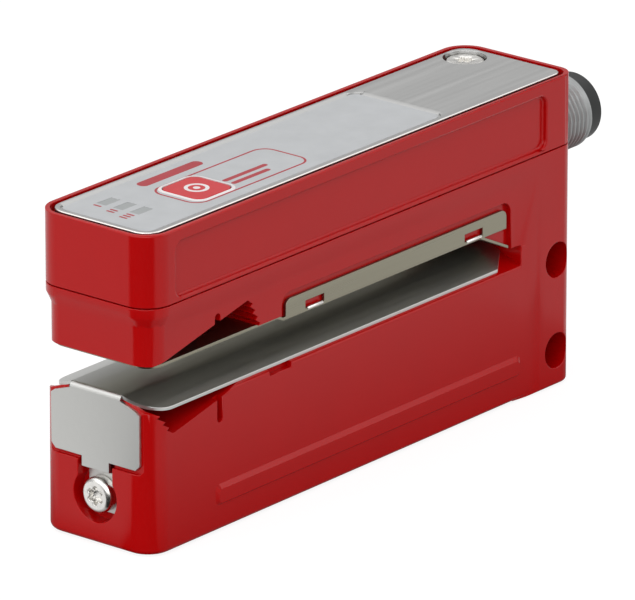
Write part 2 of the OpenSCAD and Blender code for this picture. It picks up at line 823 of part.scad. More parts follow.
// Four short wires from the contact pins to solder joints on the main board, two above it and two below
module connector_wires() {
    wire_r = 0.4;
    start_x = connector_rear - 1.2;
    joint_x = board[1] - 0.9;
    joint_y = 3.2;
    joint_side = 1.2;
    joint_height = 1.2;
    joint_drop = 0.62;
    color("saddlebrown") placed() for (turn = pin_angles) {
        pin_y = pin_circle * sin(turn);
        pin_z = connector_z - pin_circle * cos(turn);
        above = pin_z > connector_z;
        low = above ? board_top : board_bottom - joint_height;
        middle = [joint_x, sign(pin_y) * joint_y, above ? board_top + joint_drop : board_bottom - joint_drop];
        rod([start_x, pin_y, pin_z], middle, wire_r);
        translate([joint_x - joint_side / 2, middle[1] - joint_side / 2, low])
            cube([joint_side, joint_side, joint_height]);
    }
}

module main_board() {
    color("darkgreen") placed() difference() {
        translate([board[0], -board_half, board_bottom])
            cube([board[1] - board[0], 2 * board_half, board_thickness]);
        for (post = posts)
            translate([post[0], post[1], board_bottom - 1]) cylinder(r = 1.1, h = 4);
    }
}

module board_screws() {
    color("silver") placed() for (post = posts)
        translate([post[0], post[1], board_top]) pan_screw(1.7, 1.1, 0.85, 5.4, 0.9);
}

module processor_chip() {
    color("black") placed() translate([45.5, -4.5, board_top]) cube([9, 9, 1.2]);
}

module filter_capacitors() {
    color("slategray") placed() for (x = [62, 69])
        translate([x, 1.5, board_top]) cylinder(r = 2.5, h = 4.6);
}

// Sound transducer: cup with a stepped back, face at 0
module transducer() {
    cylinder(r = transducer_r, h = transducer_height - 1.2);
    cylinder(r = transducer_r - 0.8, h = transducer_height);
}

// Soft sleeve around a transducer
module sleeve() {
    difference() {
        cylinder(r = sleeve_r, h = transducer_height - 1.2);
        translate([0, 0, -1]) cylinder(r = transducer_r + 0.02, h = transducer_height + 2);
    }
}

module receiver() {
    color("silver") placed() on_upper_ramp() transducer();
}

module receiver_sleeve() {
    color("black") placed() on_upper_ramp() sleeve();
}

module transmitter() {
    color("silver") placed() on_lower_ramp() rotate([180, 0, 0]) transducer();
}

module transmitter_sleeve() {
    color("black") placed() on_lower_ramp() rotate([180, 0, 0]) sleeve();
}

module driver_board() {
    color("darkgreen") placed() translate([28, -3.6, lower_cavity_floor]) cube([53, 7.2, 1.6]);
}

// Flat cable from the driver board back through the rear block and up to the main board
module link_ribbon() {
    low = lower_cavity_floor + 1.6;
    bar = 0.5;
    run = [90.4, 90.9];
    color("lightgray") placed() across(-1.5, 1.5) polygon([
        [76, low], [run[1], low], [run[1], board_bottom], [board[1] - 4, board_bottom],
        [board[1] - 4, board_bottom - bar], [run[0], board_bottom - bar], [run[0], low + bar], [76, low + bar]
    ]);
}

housing();
top_cover();
cover_gasket();
top_plate();
label_foil();
teach_key();
key_plunger();
switch_plunger();
tact_switch();
light_guide();
status_leds();
top_screw();
lower_liner();
upper_liner();
front_screw();
connector_shell();
connector_insert();
connector_pins();
connector_seal();
connector_wires();
main_board();
board_screws();
processor_chip();
filter_capacitors();
receiver();
receiver_sleeve();
transmitter();
transmitter_sleeve();
driver_board();
link_ribbon();
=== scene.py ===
"""Fork sensor: dresses the CAD frame with fine edges, a thread, print and procedural materials."""
import json
import math

import bmesh
import bpy
from mathutils import Matrix, Vector


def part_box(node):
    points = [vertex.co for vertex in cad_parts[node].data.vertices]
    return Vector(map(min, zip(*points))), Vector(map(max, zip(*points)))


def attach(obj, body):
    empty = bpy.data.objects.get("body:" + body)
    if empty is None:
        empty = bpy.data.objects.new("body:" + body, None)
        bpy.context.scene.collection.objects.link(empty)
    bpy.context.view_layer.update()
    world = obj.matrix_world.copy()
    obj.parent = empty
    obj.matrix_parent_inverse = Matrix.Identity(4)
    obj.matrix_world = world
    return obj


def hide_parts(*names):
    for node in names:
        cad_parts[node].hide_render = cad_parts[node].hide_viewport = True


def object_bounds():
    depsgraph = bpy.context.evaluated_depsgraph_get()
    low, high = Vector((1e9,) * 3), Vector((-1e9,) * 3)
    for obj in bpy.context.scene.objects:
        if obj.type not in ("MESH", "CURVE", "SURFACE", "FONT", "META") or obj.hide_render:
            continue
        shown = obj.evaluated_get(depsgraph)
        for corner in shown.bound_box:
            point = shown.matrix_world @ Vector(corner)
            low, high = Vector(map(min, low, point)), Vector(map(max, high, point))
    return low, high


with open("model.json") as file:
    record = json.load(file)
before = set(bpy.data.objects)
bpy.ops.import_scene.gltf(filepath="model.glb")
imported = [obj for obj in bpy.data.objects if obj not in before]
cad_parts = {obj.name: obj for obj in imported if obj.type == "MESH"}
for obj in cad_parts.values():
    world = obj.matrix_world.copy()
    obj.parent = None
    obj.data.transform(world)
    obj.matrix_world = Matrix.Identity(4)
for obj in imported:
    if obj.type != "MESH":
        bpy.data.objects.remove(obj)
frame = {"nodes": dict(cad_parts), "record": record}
cad_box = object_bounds()

MM = 0.001
BODY = "sensor"
KEY_BODY = "key"

# The drawing counts X from the front of the cover, in millimetres
FRONT_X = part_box("top_cover")[0][0] / MM


def point(x, y, z):
    """A point of the drawing as a place in the row frame, in metres."""
    return Vector(((x + FRONT_X) * MM, y * MM, z * MM))


def drawn(vert):
    """Place of a mesh corner in the drawing's millimetres."""
    return Vector((vert.co.x / MM - FRONT_X, vert.co.y / MM, vert.co.z / MM))


def box_mm(node):
    """Corners of a node in the drawing's millimetres."""
    low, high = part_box(node)
    shift = Vector((FRONT_X, 0, 0))
    return Vector(low) / MM - shift, Vector(high) / MM - shift


# Shader nodes

def fill_inputs(tree, node, values):
    """Links sockets to the first inputs of a node, or sets the inputs where a fixed value is given."""
    for socket, value in zip(node.inputs, values):
        if isinstance(value, bpy.types.NodeSocket):
            tree.links.new(value, socket)
        else:
            socket.default_value = value


def number(tree, operation, *values):
    """Result of an operation on numbers."""
    node = tree.nodes.new("ShaderNodeMath")
    node.operation = operation
    fill_inputs(tree, node, values)
    return node.outputs[0]


def vector(tree, operation, *values):
    """Result of an operation on vectors."""
    node = tree.nodes.new("ShaderNodeVectorMath")
    node.operation = operation
    fill_inputs(tree, node, values)
    return node.outputs["Value" if operation == "DOT_PRODUCT" else "Vector"]


def ramp(tree, value, source, target):
    """A value spread from one range over another and held at both ends."""
    node = tree.nodes.new("ShaderNodeMapRange")
    for socket, level in zip(("From Min", "From Max", "To Min", "To Max"), (*source, *target)):
        node.inputs[socket].default_value = level
    tree.links.new(value, node.inputs["Value"])
    return node.outputs["Result"]


# Materials

# Range that most values of a noise lie in
NOISE_RANGE = (0.25, 0.75)
# Places of the colour sockets on a mix node
MIX_DARK, MIX_LIGHT, MIX_RESULT = 6, 7, 2
# Brush lines are drawn out along the body
BRUSH_STRETCH = (0.03, 1, 1)


def srgb(red, green, blue):
    """An 8-bit screen colour as linear RGBA."""
    def linear(value):
        c = value / 255
        return c / 12.92 if c <= 0.04045 else ((c + 0.055) / 1.055) ** 2.4
    return (linear(red), linear(green), linear(blue), 1.0)


class Surface:
    """A Principled material with a few helpers for its nodes."""

    def __init__(self, name, color, roughness, **sockets):
        self.material = bpy.data.materials.new(name)
        self.material.use_nodes = True
        self.tree = self.material.node_tree
        self.shader = self.tree.nodes["Principled BSDF"]
        self.color = color
        self.shader.inputs["Base Color"].default_value = color
        self.shader.inputs["Roughness"].default_value = roughness
        for key, value in sockets.items():
            self.shader.inputs[key.replace("_", " ")].default_value = value
        self.material.diffuse_color = color
        self.place = self.tree.nodes.new("ShaderNodeTexCoord").outputs["Object"]

    def noise(self, scale, detail, place=None):
        """Noise over the object's own coordinates, or over others that are given."""
        node = self.tree.nodes.new("ShaderNodeTexNoise")
        node.inputs["Scale"].default_value = scale
        node.inputs["Detail"].default_value = detail
        self.tree.links.new(place or self.place, node.inputs["Vector"])
        return node.outputs["Fac"]

    def vary_color(self, value, amount):
        """Makes the colour a little darker and lighter with a noise."""
        node = self.tree.nodes.new("ShaderNodeMix")
        node.data_type = "RGBA"
        dark = [c * (1 - amount) for c in self.color[:3]] + [1.0]
        light = [min(1.0, c * (1 + amount)) for c in self.color[:3]] + [1.0]
        node.inputs[MIX_DARK].default_value = dark
        node.inputs[MIX_LIGHT].default_value = light
        self.tree.links.new(ramp(self.tree, value, NOISE_RANGE, (0.0, 1.0)), node.inputs[0])
        self.tree.links.new(node.outputs[MIX_RESULT], self.shader.inputs["Base Color"])

    def vary_roughness(self, value, low, high):
        """Spreads the roughness over a range with a noise."""
        self.tree.links.new(ramp(self.tree, value, NOISE_RANGE, (low, high)), self.shader.inputs["Roughness"])

    def bump(self, value, distance, strength):
        """Raises the surface with a noise, by a distance in metres."""
        node = self.tree.nodes.new("ShaderNodeBump")
        node.inputs["Strength"].default_value = strength
        node.inputs["Distance"].default_value = distance
        self.tree.links.new(value, node.inputs["Height"])
        self.tree.links.new(node.outputs["Normal"], self.shader.inputs["Normal"])


def paint(name, color):
    """Semi-gloss powder coat: soft mottling and a faint orange peel."""
    surface = Surface(name, color, roughness=0.2, Specular_IOR_Level=0.26)
    surface.vary_color(surface.noise(scale=160, detail=4), amount=0.02)
    surface.vary_roughness(surface.noise(scale=420, detail=3), low=0.18, high=0.22)
    surface.bump(surface.noise(scale=1500, detail=2), distance=0.000004, strength=0.3)
    return surface.material


def brushed(name, color, low, high, depth=0.000004, contrast=0.06):
    """Sheet metal with fine brush lines along the body."""
    surface = Surface(name, color, roughness=low, Metallic=1.0)
    stretched = vector(surface.tree, "MULTIPLY", surface.place, BRUSH_STRETCH)
    lines = surface.noise(scale=900, detail=4, place=stretched)
    surface.vary_color(lines, contrast)
    surface.vary_roughness(lines, low, high)
    surface.bump(lines, depth, strength=0.5)
    return surface.material


def plain_metal(name, color, low, high):
    """Bright metal with faint handling marks."""
    surface = Surface(name, color, roughness=low, Metallic=1.0)
    surface.vary_color(surface.noise(scale=500, detail=4), amount=0.05)
    surface.vary_roughness(surface.noise(scale=700, detail=5), low, high)
    return surface.material


def moulded(name, color, low, high, grain=1800, depth=0.00001, **sockets):
    """Moulded plastic or rubber with a fine grain."""
    surface = Surface(name, color, roughness=low, **sockets)
    surface.vary_color(surface.noise(scale=220, detail=3), amount=0.05)
    surface.vary_roughness(surface.noise(scale=600, detail=3), low, high)
    surface.bump(surface.noise(scale=grain, detail=2), depth, strength=0.4)
    return surface.material


def board_material(name, color):
    """Solder mask over faint copper tracks."""
    surface = Surface(name, color, roughness=0.35, Coat_Weight=0.3, Coat_Roughness=0.2)
    tracks = surface.tree.nodes.new("ShaderNodeTexBrick")
    tracks.inputs["Scale"].default_value = 260
    tracks.inputs["Mortar Size"].default_value = 0.03
    surface.tree.links.new(surface.place, tracks.inputs["Vector"])
    surface.vary_color(tracks.outputs["Fac"], amount=0.25)
    surface.bump(tracks.outputs["Fac"], distance=0.00003, strength=0.4)
    return surface.material


RED = paint("red_powder_coat", srgb(178, 3, 4))
PLATE = brushed("brushed_plate", srgb(180, 180, 179), 0.36, 0.46)
PLATE_EDGE = plain_metal("polished_edge", srgb(226, 222, 218), 0.10, 0.16)
LINER = brushed("folded_sheet", srgb(200, 200, 197), 0.34, 0.40, depth=0.0000012, contrast=0.02)
UPPER = brushed("upper_sheet", srgb(142, 138, 122), 0.26, 0.32, depth=0.000002, contrast=0.04)
SCREW = plain_metal("screw_steel", srgb(232, 230, 226), 0.20, 0.30)
NICKEL = plain_metal("nickel_plate", srgb(158, 160, 160), 0.46, 0.54)
GOLD = plain_metal("gold_plate", srgb(218, 178, 92), 0.22, 0.32)
TIN = plain_metal("tinned_can", srgb(190, 190, 194), 0.32, 0.42)
FOIL = moulded("label_foil_grey", srgb(186, 188, 190), 0.42, 0.52, grain=2600, depth=0.000006)
PRINT_RED = moulded("print_red", srgb(168, 34, 46), 0.40, 0.50, grain=2600, depth=0.000004)
KEY_RED = moulded("key_red", srgb(200, 30, 38), 0.36, 0.46, grain=2400, depth=0.000006)
# White for print, also painted on the pressed edge round the key as a highlight
PRINT_AND_HIGHLIGHT_WHITE = moulded("print_and_highlight_white", srgb(232, 226, 226), 0.40, 0.50, grain=2600, depth=0.000004)
WINDOW = moulded("window_grey", srgb(158, 161, 161), 0.30, 0.40, grain=2400, depth=0.000004)
WHITE = moulded("white_moulding", srgb(224, 224, 220), 0.40, 0.50)
DARK = moulded("dark_moulding", srgb(40, 41, 41), 0.42, 0.52, Specular_IOR_Level=0.3)
BLACK = moulded("black_rubber", srgb(26, 26, 27), 0.55, 0.70)
# Dark red rubber for the cover gasket; also painted on the top plate's outer walls as shade in the gap round
# the plate
SEAL_AND_GAP_SHADE = moulded("seal_rubber_and_gap_shade", srgb(58, 14, 12), 0.55, 0.70)
CHIP = moulded("chip_resin", srgb(30, 30, 32), 0.45, 0.55)
LIGHT = moulded("light_resin", srgb(226, 226, 210), 0.20, 0.30, Transmission_Weight=0.2)
WIRE = moulded("wire_sheath", srgb(96, 58, 32), 0.40, 0.50)
RIBBON = moulded("ribbon_sheath", srgb(188, 188, 184), 0.42, 0.52)
BOARD = board_material("solder_mask", srgb(18, 84, 44))


# Meshes and pieces

MERGE_DISTANCE = 0.0005 * MM
# Faces that meet at a smaller angle than this, in degrees, are one flat face
FLAT_ANGLE = 0.2
# Edges that turn by more than this, in degrees, are softened
SOFTENED_ANGLE = 28
# How much larger faces count in the shading of softened edges
LARGE_FACE_WEIGHT = 60


def carry(obj, body, slot, *nodes):
    """Ties a new piece to its body and hides the CAD nodes that it stands for; the material slot is not used.
    """
    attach(obj, body)
    if nodes:
        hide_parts(*nodes)


def slot_of(node):
    """Material slot of a node in the record."""
    for part in frame["record"]["subparts"]:
        if part["node"] == node:
            return part["material_slot"]
    raise KeyError(node)


def node_mesh(node):
    """Editable copy of a CAD node's mesh, with doubled corners merged."""
    bm = bmesh.new()
    bm.from_mesh(frame["nodes"][node].data)
    bmesh.ops.remove_doubles(bm, verts=bm.verts, dist=MERGE_DISTANCE)
    bm.normal_update()
    return bm


def new_object(name, bm, material, sharp_angle=32):
    """Object from a finished bmesh, shaded smooth with sharp edges kept."""
    mesh = bpy.data.meshes.new(name)
    bmesh.ops.recalc_face_normals(bm, faces=bm.faces)
    bm.to_mesh(mesh)
    bm.free()
    if "custom_normal" in mesh.attributes:
        mesh.attributes.remove(mesh.attributes["custom_normal"])
    mesh.materials.append(material)
    mesh.shade_smooth()
    mesh.set_sharp_from_angle(angle=math.radians(sharp_angle))
    obj = bpy.data.objects.new(name, mesh)
    bpy.context.scene.collection.objects.link(obj)
    return obj


def soften(obj, width, segments=2):
    """Rounds the sharp edges of a piece by a width in millimetres."""
    bevel = obj.modifiers.new("fine_edges", "BEVEL")
    bevel.width = width * MM
    bevel.segments = segments
    bevel.limit_method = "ANGLE"
    bevel.angle_limit = math.radians(SOFTENED_ANGLE)
    bevel.use_clamp_overlap = False
    bevel.loop_slide = False
    bevel.miter_outer = "MITER_ARC"
    normals = obj.modifiers.new("even_normals", "WEIGHTED_NORMAL")
    normals.keep_sharp = False
    normals.weight = LARGE_FACE_WEIGHT


def refined(node, material, width, body=BODY):
    """Copy of a CAD node with softened edges, which stands for the node."""
    obj = new_object(node + "_fine", node_mesh(node), material)
    soften(obj, width)
    carry(obj, body, slot_of(node), node)


def dressed(node, material):
    """Gives a CAD node that keeps its own mesh a procedural material."""
    obj = frame["nodes"][node]
    obj.data.materials.clear()
    obj.data.materials.append(material)


def outline_points(x0, y0, x1, y1, radius, steps=8):
    """Corner points of a round-cornered rectangle, anticlockwise."""
    points = []
    corners = ((x1 - radius, y1 - radius, 0), (x0 + radius, y1 - radius, 90),
               (x0 + radius, y0 + radius, 180), (x1 - radius, y0 + radius, 270))
    for cx, cy, start in corners:
        for i in range(steps + 1):
            turn = math.radians(start + 90 * i / steps)
            points.append((cx + radius * math.cos(turn), cy + radius * math.sin(turn)))
    return points


def closed_rings(bm, rings):
    """Adds the faces between rings of corners, each joined to the next and the last to the first."""
    count = len(rings[0])
    for a, b in zip(rings, rings[1:] + rings[:1]):
        for i in range(count):
            j = (i + 1) % count
            bm.faces.new((a[i], a[j], b[j], b[i]))


def slab(bm, points, z0, z1):
    """Adds an upright slab over an outline in the drawing's X and Y."""
    low = [bm.verts.new(point(x, y, z0)) for x, y in points]
    high = [bm.verts.new(point(x, y, z1)) for x, y in points]
    bm.faces.new(reversed(low))
    bm.faces.new(high)
    for i in range(len(points)):
        j = (i + 1) % len(points)
        bm.faces.new((low[i], low[j], high[j], high[i]))


def band(bm, outer, inner, z0, z1):
    """Adds a flat closed band between two outlines with the same number of points."""
    rings = [[bm.verts.new(point(x, y, z)) for x, y in ring] for z in (z0, z1) for ring in (outer, inner)]
    low_out, low_in, high_out, high_in = rings
    count = len(outer)
    for i in range(count):
        j = (i + 1) % count
        bm.faces.new((low_out[i], low_out[j], high_out[j], high_out[i]))
        bm.faces.new((low_in[j], low_in[i], high_in[i], high_in[j]))
        bm.faces.new((high_out[i], high_out[j], high_in[j], high_in[i]))
        bm.faces.new((low_out[j], low_out[i], low_in[i], low_in[j]))


# Housing, cover and lower liner, with edges rounded by a rule

# Areas of the side faces in the drawing as start, end, bottom and top, in millimetres
BEAD = (15.1, 87.7, 4.1, 7.4)
PANEL = (5.9, 93.4, 39.35, 47.95)
LOWER_TEETH = (3.0, 6.6, 18.0, 24.0)

# Corners that the rules compare with, measured once
HOUSING_HIGH = box_mm("housing")[1]
COVER_HIGH = box_mm("top_cover")[1]
SEAM_GAP = 0.25
COVER_BOTTOM = HOUSING_HIGH.z + SEAM_GAP

# Radii of the roundings
WIDEST_ROUNDING = 0.3
PANEL_ROUNDING = WIDEST_ROUNDING
MOUTH_ROUNDING = 0.28
SEAM_ROUNDING = 0.22
FINE_ROUNDING = 0.1
SHEET_ROUNDING = 0.06

# Height of the lower jaw's edge along the mouth, and a place in front of its start
MOUTH_EDGE = 21.67
MOUTH_EDGE_START = 8
# Edges below this height have their rounding in the drawing
FOOT_HEIGHT = 1.5
# Width of the strip beside the outer faces whose edges are rounded
OUTER_STRIP = 1.3
# Faces whose normal rises less than this are upright
UPRIGHT = 0.3


def rounded_by_rule(node, material, rule, shape=None):
    """Copy of a CAD node whose edges are rounded by a rule, which gives an edge's radius in millimetres."""
    bm = node_mesh(node)
    if shape:
        shape(bm)
    bmesh.ops.dissolve_limit(bm, angle_limit=math.radians(FLAT_ANGLE), verts=bm.verts, edges=bm.edges)
    bm.normal_update()
    weight = bm.edges.layers.float.new("bevel_weight_edge")
    for edge in bm.edges:
        if len(edge.link_faces) == 2:
            edge[weight] = rule(edge) / WIDEST_ROUNDING
    obj = new_object(node + "_fine", bm, material, sharp_angle=24)
    bevel = obj.modifiers.new("fine_edges", "BEVEL")
    bevel.width = WIDEST_ROUNDING * MM
    bevel.segments = 3
    bevel.limit_method = "WEIGHT"
    bevel.use_clamp_overlap = False
    bevel.face_strength_mode = "FSTR_ALL"
    normals = obj.modifiers.new("even_normals", "WEIGHTED_NORMAL")
    normals.use_face_influence = True
    normals.keep_sharp = True
    carry(obj, BODY, slot_of(node), node)


def inside(place, area, margin=0.1):
    """Whether a place lies in an area of the side faces."""
    start, end, bottom, top = area
    return start - margin < place.x < end + margin and bottom - margin < place.z < top + margin


def is_sharp(edge, degrees):
    """Whether the surface turns by at least an angle at an edge."""
    return edge.calc_face_angle(0) >= math.radians(degrees)


def lies_level(ends, height, play=0.02):
    """Whether both ends of an edge lie at a height."""
    return all(abs(p.z - height) < play for p in ends)


def shape_bead(bm):
    """Slopes the faces of the side beads, gently at the top and steeper at the bottom and the ends."""
    top_slope, bottom_slope, end_slope = 0.75, 0.35, 0.4
    end_reach = 2
    play = 0.01
    start, end, bottom, top = BEAD
    for vert in bm.verts:
        place = drawn(vert)
        if abs(abs(place.y) - HOUSING_HIGH.y) > play or not inside(place, BEAD):
            continue
        if place.z > (bottom + top) / 2:
            vert.co.z -= top_slope * MM
        else:
            vert.co.z += bottom_slope * MM
        if place.x < start + end_reach:
            vert.co.x += end_slope * MM
        if place.x > end - end_reach:
            vert.co.x -= end_slope * MM


def shape_rim(bm):
    """Widens the rounding of the cover's top rim, fully on the near side and less towards the far side."""
    drawn_r, wide_r = 0.12, 0.35
    corner = 4.35
    play = 0.005
    for vert in bm.verts:
        place = drawn(vert)
        drop = COVER_HIGH.z - place.z
        if drop > drawn_r + play:
            continue
        side = 1 if place.y > 0 else -1
        out_x = max(0, corner - place.x)
        out_y = max(0, abs(place.y) - (COVER_HIGH.y - corner))
        reach = math.hypot(out_x, out_y)
        inset = corner - reach
        if not -2 * play < inset < drawn_r + play:
            continue
        nearness = min(1, max(0, 1 - place.y / (COVER_HIGH.y - corner)))
        growth = (wide_r / drawn_r - 1) * nearness
        vert.co.x += growth * inset * out_x / reach * MM
        vert.co.y -= growth * inset * side * out_y / reach * MM
        vert.co.z -= growth * drop * MM


def housing_rounding(edge):
    """Radius for an edge of the housing: wide at the mouth and the seam, fine at other outer edges."""
    ends = [drawn(v) for v in edge.verts]
    if min(p.z for p in ends) < FOOT_HEIGHT or not is_sharp(edge, degrees=35):
        return 0
    if all(inside(p, BEAD) for p in ends) or all(inside(p, LOWER_TEETH, margin=0) for p in ends):
        return 0
    off_sides = min(abs(p.y) for p in ends) < HOUSING_HIGH.y - OUTER_STRIP
    if off_sides and max(p.x for p in ends) > OUTER_STRIP:
        return 0
    upright = [f for f in edge.link_faces if abs(f.normal.z) < UPRIGHT]
    is_brim = len(upright) == 1 and edge.is_convex
    if lies_level(ends, HOUSING_HIGH.z):
        return SEAM_ROUNDING if is_brim else 0
    at_mouth = lies_level(ends, MOUTH_EDGE, play=0.05) and all(p.x > MOUTH_EDGE_START for p in ends)
    return MOUTH_ROUNDING if at_mouth and is_brim else FINE_ROUNDING


def cover_rounding(edge):
    """Radius for an edge of the cover: wide round the side panel, fine at its rim and its seam."""
    panel_reach, play = 0.8, 0.1
    ends = [drawn(v) for v in edge.verts]
    if not is_sharp(edge, degrees=40):
        return 0
    if all(inside(p, PANEL) and abs(p.y) > COVER_HIGH.y - panel_reach for p in ends):
        across = abs(ends[0].y - ends[1].y) > play
        return 0 if across else PANEL_ROUNDING
    on_sides = min(abs(p.y) for p in ends) > COVER_HIGH.y - OUTER_STRIP
    on_front = max(p.x for p in ends) < OUTER_STRIP
    at_brim = lies_level(ends, COVER_HIGH.z) or lies_level(ends, COVER_BOTTOM)
    return FINE_ROUNDING if at_brim and (on_sides or on_front) else 0


def liner_rounding(edge):
    """Radius for an edge of the lower liner: fine, and none at the shoulders of the front fold."""
    fold_end, fold_bottom = 2.5, 21
    ends = [drawn(v) for v in edge.verts]
    at_fold = any(p.x < fold_end and p.z > fold_bottom for p in ends)
    return SHEET_ROUNDING if is_sharp(edge, SOFTENED_ANGLE) and not at_fold else 0


# Top plate

def make_plate():
    """The top plate, with a polished rounding at its near, front and rear edges, and its outer walls painted
    dark as the shade in the gap round it.
    """
    polished_r, polished_steps = 0.17, 5
    # The far edge and the edge round the screw are not polished
    far_strip, screw_clearance = 0.9, 3.7
    play = 0.005 * MM
    wall_rise = 0.15
    edge_slot, gap_shade_slot = 1, 2
    low, high = box_mm("top_plate")
    screw_low, screw_high = box_mm("top_screw")
    centre = point((low.x + high.x) / 2, 0, high.z)
    screw = point((screw_low.x + screw_high.x) / 2, (screw_low.y + screw_high.y) / 2, high.z)
    bm = node_mesh("top_plate")
    rim = []
    for edge in bm.edges:
        middle = (edge.verts[0].co + edge.verts[1].co) / 2
        on_top = all(abs(v.co.z - high.z * MM) < play for v in edge.verts)
        walls = [f for f in edge.link_faces if abs(f.normal.z) < UPRIGHT]
        at_far_edge = middle.y > (high.y - far_strip) * MM
        at_screw = (middle - screw).length < screw_clearance * MM
        if not on_top or len(walls) != 1 or at_far_edge or at_screw:
            continue
        if walls[0].normal.dot(middle - centre) > 0:
            rim.append(edge)
    rounding = bmesh.ops.bevel(bm, geom=rim, offset=polished_r * MM, segments=polished_steps, profile=0.5,
                               affect="EDGES", clamp_overlap=False, loop_slide=False)
    for face in rounding["faces"]:
        face.material_index = edge_slot
    bm.normal_update()
    # Outer walls get the dark seal colour as painted shade in the gap beside the cover's rim
    for face in bm.faces:
        if abs(face.normal.z) < wall_rise and face.normal.dot(face.calc_center_median() - centre) > 0:
            face.material_index = gap_shade_slot
    obj = new_object("top_plate_fine", bm, PLATE)
    obj.data.materials.append(PLATE_EDGE)
    obj.data.materials.append(SEAL_AND_GAP_SHADE)
    soften(obj, FINE_ROUNDING)
    carry(obj, BODY, slot_of("top_plate"), "top_plate")


# Upper liner

def make_upper_liner():
    """The upper liner with its front part a little narrower than the jaw."""
    narrow_end = 31.0
    side_inset, front_inset = 0.35, 0.5
    edge_strip = 3
    low, high = box_mm("upper_liner")
    bm = node_mesh("upper_liner")
    for vert in bm.verts:
        place = drawn(vert)
        if place.x > narrow_end:
            continue
        if abs(place.y) > high.y - edge_strip:
            vert.co.y *= (high.y - side_inset) / high.y
        if place.x < low.x + edge_strip:
            vert.co.x += front_inset * MM
    obj = new_object("upper_liner_fine", bm, UPPER)
    soften(obj, SHEET_ROUNDING)
    carry(obj, BODY, slot_of("upper_liner"), "upper_liner")


def make_slot_lips():
    """A rolled lip below each slot of the upper liner's flanges."""
    slot_starts, slot_length, slot_bottom = (36.8, 74.8), 4.4, 28.9
    lip_r, lip_length, lip_rounding = 0.28, 3.6, 0.12
    lip_inset, lip_sides = 0.05, 20
    lip_y = box_mm("upper_liner")[1].y - lip_inset
    bm = bmesh.new()
    for start in slot_starts:
        for side in (-1, 1):
            middle = point(start + slot_length / 2, side * lip_y, slot_bottom)
            turn = Matrix.Translation(middle) @ Matrix.Rotation(math.radians(90), 4, "Y")
            bmesh.ops.create_cone(bm, cap_ends=True, segments=lip_sides, radius1=lip_r * MM,
                                  radius2=lip_r * MM, depth=lip_length * MM, matrix=turn)
    obj = new_object("slot_lips", bm, SCREW)
    soften(obj, lip_rounding, segments=3)
    carry(obj, BODY, slot_of("upper_liner"))


# Pieces with finer edges than their solids
rounded_by_rule("housing", RED, housing_rounding, shape_bead)
rounded_by_rule("top_cover", RED, cover_rounding, shape_rim)
make_plate()
refined("label_foil", FOIL, 0.03)
refined("teach_key", KEY_RED, 0.12, KEY_BODY)
rounded_by_rule("lower_liner", LINER, liner_rounding)
make_upper_liner()
make_slot_lips()
refined("top_screw", SCREW, 0.08)
refined("front_screw", SCREW, 0.08)
refined("connector_insert", DARK, 0.12)
refined("connector_pins", GOLD, 0.15)
refined("light_guide", WINDOW, 0.04)

# Pieces that keep the CAD mesh
for kept, kept_material in (
    ("cover_gasket", SEAL_AND_GAP_SHADE), ("connector_seal", BLACK), ("receiver_sleeve", BLACK),
    ("transmitter_sleeve", BLACK), ("key_plunger", WHITE), ("switch_plunger", DARK),
    ("tact_switch", DARK), ("status_leds", LIGHT), ("connector_wires", WIRE),
    ("main_board", BOARD), ("driver_board", BOARD), ("board_screws", SCREW),
    ("processor_chip", CHIP), ("filter_capacitors", TIN), ("receiver", TIN),
    ("transmitter", TIN), ("link_ribbon", RIBBON),
):
    dressed(kept, kept_material)


# Connector shell with its thread

THREAD_R = 6.0
THREAD_PITCH = 1.0
THREAD_DEPTH = 0.5


def clamped(value):
    """A value held between 0 and 1."""
    return min(1.0, max(0.0, value))


def thread_radius(x, turn, start, end):
    """Radius of the thread at a place along and a turn around its axis."""
    root_flat, flank = 0.14, 0.72
    phase = (x / THREAD_PITCH - turn / (2 * math.pi)) % 1.0
    rise = clamped((abs(2 * phase - 1) - root_flat) / flank)
    run_in = clamped((x - start) / THREAD_PITCH)
    run_out = clamped((end - x) / THREAD_PITCH)
    return THREAD_R - THREAD_DEPTH * (1 - rise) * min(run_in, run_out)


def make_shell():
    """The connector shell as one turned profile: inner flange, neck, thread and bore."""
    neck_r, bore_r = 5.0, 4.6
    flange_length, flange_chamfer = 1.3, 0.1
    neck_reach, neck_gap = 1.2, 0.05
    start_chamfer, end_chamfer, end_length = 0.3, 0.35, 0.4
    samples_per_pitch, sides = 10, 96
    low, high = box_mm("connector_shell")
    axis_z = (low.z + high.z) / 2
    flange_r = (high.z - low.z) / 2
    flange_end = low.x + flange_length
    thread_start = COVER_HIGH.x + neck_reach
    thread_end = high.x - end_length
    neck_end = thread_start - neck_gap
    samples = round((thread_end - thread_start) / THREAD_PITCH * samples_per_pitch)
    # Places along the axis with their radius, which is left out where the thread gives it
    profile = [(low.x, bore_r), (low.x, flange_r - flange_chamfer), (low.x + flange_chamfer, flange_r),
               (flange_end, flange_r), (flange_end, neck_r), (neck_end, neck_r),
               (neck_end, THREAD_R - start_chamfer)]
    profile += [(thread_start + (thread_end - thread_start) * i / samples, None) for i in range(samples + 1)]
    profile += [(high.x, THREAD_R - end_chamfer), (high.x, bore_r)]
    bm = bmesh.new()
    rings = []
    for x, radius in profile:
        ring = []
        for k in range(sides):
            turn = 2 * math.pi * k / sides
            r = radius or thread_radius(x, turn, thread_start, thread_end)
            ring.append(bm.verts.new(point(x, r * math.cos(turn), axis_z + r * math.sin(turn))))
        rings.append(ring)
    closed_rings(bm, rings)
    obj = new_object("connector_shell_threaded", bm, NICKEL)
    carry(obj, BODY, "nickel", "connector_shell")


make_shell()


# Print on the foil, and the pressed edge round the key painted white as a highlight

INK = 0.012
INK_SINK = 0.002
FOIL_TOP = box_mm("label_foil")[1].z - INK_SINK
KEY_LOW, KEY_HIGH = box_mm("teach_key")


